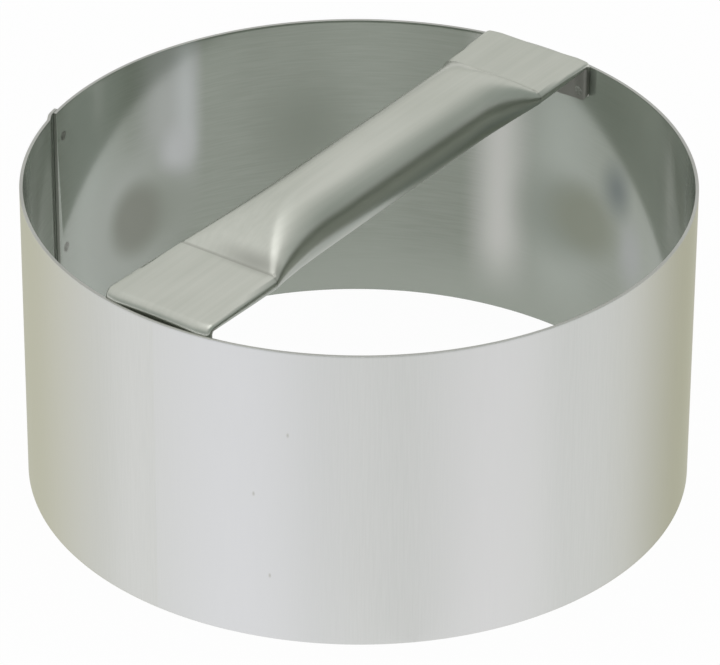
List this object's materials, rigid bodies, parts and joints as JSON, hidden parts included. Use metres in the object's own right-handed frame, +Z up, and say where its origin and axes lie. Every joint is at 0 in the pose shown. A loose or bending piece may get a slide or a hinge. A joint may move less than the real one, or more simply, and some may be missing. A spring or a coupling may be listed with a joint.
{
  "type": "biscuit cutter",
  "caption": "Round sheet-steel cutting ring with an upright lapped seam and a tube handle, pressed flat at both ends, welded across its top inside the rim.",
  "frame": {"origin": "centre of the ring on the plane of its cutting edge, on which it stands", "axes": "+Z up from the cutting edge to the rim, +X along the handle to its rear end, whose flat is the shorter one, and the upright seam lies on the +Y side"},
  "size_m": [0.154, 0.1542, 0.0847],
  "materials": {
    "band_steel": "satin stainless steel, finely grained upright, a little glossier inside",
    "tube_steel": "satin stainless steel tube",
    "weld_steel": "bare resistance spot weld in stainless steel"
  },
  "bodies": {
    "root": {"ring_band": "band_steel", "handle_tube": "tube_steel", "seam_welds": "weld_steel", "tab_welds": "weld_steel"}
  },
  "joints": []
}
